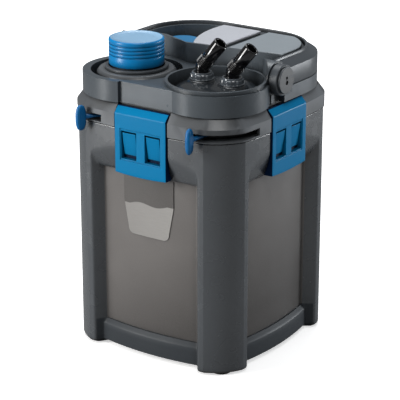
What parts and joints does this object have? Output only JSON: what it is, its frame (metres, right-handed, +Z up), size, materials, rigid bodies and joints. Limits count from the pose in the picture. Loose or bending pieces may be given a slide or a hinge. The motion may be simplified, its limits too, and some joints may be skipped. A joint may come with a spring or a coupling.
{
  "type": "aquarium canister filter",
  "caption": "Square canister water filter with latched pump head, lift-out prefilter with primer cap, swivelling hose elbows and folding carry handle.",
  "frame": {"origin": "on the floor below the middle of the tank, at the centre of the feet's resting plane", "axes": "+Z up, front face with the badge towards -Y, right face towards +X"},
  "size_m": [0.2335, 0.256, 0.3627],
  "materials": {
    "body_plastic": "satin moulded, fine grain",
    "dark_plastic": "satin",
    "rubber": "matte",
    "badge_foil": "satin two-tone foil",
    "basket_plastic": "satin",
    "foam_blue": "open-cell foam",
    "foam_orange": "open-cell foam",
    "ceramic": "rough ceramic granules",
    "cover_plastic": "fine sparkle, satin",
    "steel": "brushed",
    "potting": "smooth",
    "ceramic_white": "polished",
    "inner_plastic": "satin",
    "blue_plastic": "satin",
    "lever_plastic": "satin",
    "cap_plastic": "soft gloss",
    "gloss_black": "high gloss",
    "union_plastic": "clear grey, high gloss"
  },
  "bodies": {
    "tank": {"container": "body_plastic", "feet": "rubber", "badge": "badge_foil", "basket_lower": "basket_plastic", "basket_middle": "basket_plastic", "basket_upper": "basket_plastic", "foam_coarse": "foam_blue", "foam_fine": "foam_orange", "bio_media": "ceramic"},
    "head": {"head_gasket": "rubber", "head_base": "body_plastic", "head_deck": "body_plastic", "pump_housing": "body_plastic", "pump_cover_left": "cover_plastic", "pump_cover_right": "cover_plastic", "housing_screws": "steel", "motor_block": "potting", "rotor_shaft": "ceramic_white", "shaft_bushes": "rubber", "impeller_cover": "inner_plastic", "inlet_duct": "inner_plastic", "outlet_duct": "inner_plastic", "valve_sleeves": "inner_plastic", "cable_gland": "rubber", "heater_plug": "blue_plastic", "plug_seal": "rubber", "clip_pins": "steel", "handle_pivots": "steel"},
    "clip_front": {"clip_front": "blue_plastic"},
    "clip_right": {"clip_right": "blue_plastic"},
    "clip_rear": {"clip_rear": "blue_plastic"},
    "clip_left": {"clip_left": "blue_plastic"},
    "handle": {"carry_handle": "body_plastic", "hub_caps": "dark_plastic"},
    "prefilter_lever": {"prefilter_lever": "lever_plastic"},
    "adapter_lever": {"adapter_lever": "lever_plastic"},
    "prefilter": {"prefilter_lid": "dark_plastic", "prefilter_seal": "rubber", "cap_collar": "rubber", "prefilter_cage": "inner_plastic", "prefilter_foam": "foam_orange", "primer_spring": "steel"},
    "primer": {"primer_cap": "cap_plastic"},
    "adapter": {"adapter_body": "gloss_black", "adapter_seals": "rubber", "union_left": "union_plastic", "union_right": "union_plastic"},
    "elbow_left": {"elbow_left": "gloss_black"},
    "elbow_right": {"elbow_right": "gloss_black"},
    "rotor": {"impeller": "ceramic_white", "rotor_magnet": "potting"}
  },
  "joints": [
    {"name": "head_lift", "type": "slide", "parent": "tank", "child": "head", "axis": [0, 0, 1], "range_m": [0, 0.08]},
    {"name": "clip_front_open", "type": "hinge", "parent": "head", "child": "clip_front", "pos_m": [0, -0.1075, 0.2865], "axis": [-1, 0, 0], "range_deg": [0, 55]},
    {"name": "clip_right_open", "type": "hinge", "parent": "head", "child": "clip_right", "pos_m": [0.1075, 0, 0.2865], "axis": [0, -1, 0], "range_deg": [0, 55]},
    {"name": "clip_rear_open", "type": "hinge", "parent": "head", "child": "clip_rear", "pos_m": [0, 0.1075, 0.2865], "axis": [1, 0, 0], "range_deg": [0, 55]},
    {"name": "clip_left_open", "type": "hinge", "parent": "head", "child": "clip_left", "pos_m": [-0.1075, 0, 0.2865], "axis": [0, 1, 0], "range_deg": [0, 55]},
    {"name": "handle_swing", "type": "hinge", "parent": "head", "child": "handle", "pos_m": [0, -0.0112, 0.3178], "axis": [-1, 0, 0], "range_deg": [-90, 0]},
    {"name": "prefilter_lock", "type": "hinge", "parent": "head", "child": "prefilter_lever", "pos_m": [-0.0505, -0.052, 0.27], "axis": [0, 0, 1], "range_deg": [-60, 0]},
    {"name": "adapter_lock", "type": "hinge", "parent": "head", "child": "adapter_lever", "pos_m": [0.0545, -0.052, 0.27], "axis": [0, 0, 1], "range_deg": [0, 60]},
    {"name": "prefilter_lift", "type": "slide", "parent": "head", "child": "prefilter", "axis": [0, 0, 1], "range_m": [0, 0.07]},
    {"name": "primer_press", "type": "slide", "parent": "prefilter", "child": "primer", "axis": [0, 0, -1], "range_m": [0, 0.012], "stiffness_N_per_m": 600, "springref_m": -0.004, "deforming": ["primer_spring"]},
    {"name": "adapter_lift", "type": "slide", "parent": "head", "child": "adapter", "axis": [0, 0, 1], "range_m": [0, 0.07]},
    {"name": "elbow_left_swivel", "type": "hinge", "parent": "adapter", "child": "elbow_left", "pos_m": [0.035, -0.05, 0.32], "axis": [0, 0, 1], "range_deg": [-30, 90]},
    {"name": "elbow_right_swivel", "type": "hinge", "parent": "adapter", "child": "elbow_right", "pos_m": [0.074, -0.05, 0.32], "axis": [0, 0, 1], "range_deg": [-30, 90]},
    {"name": "rotor_spin", "type": "hinge", "parent": "head", "child": "rotor", "pos_m": [0.03, 0.058, 0.28], "axis": [0, 0, 1], "continuous": true}
  ]
}
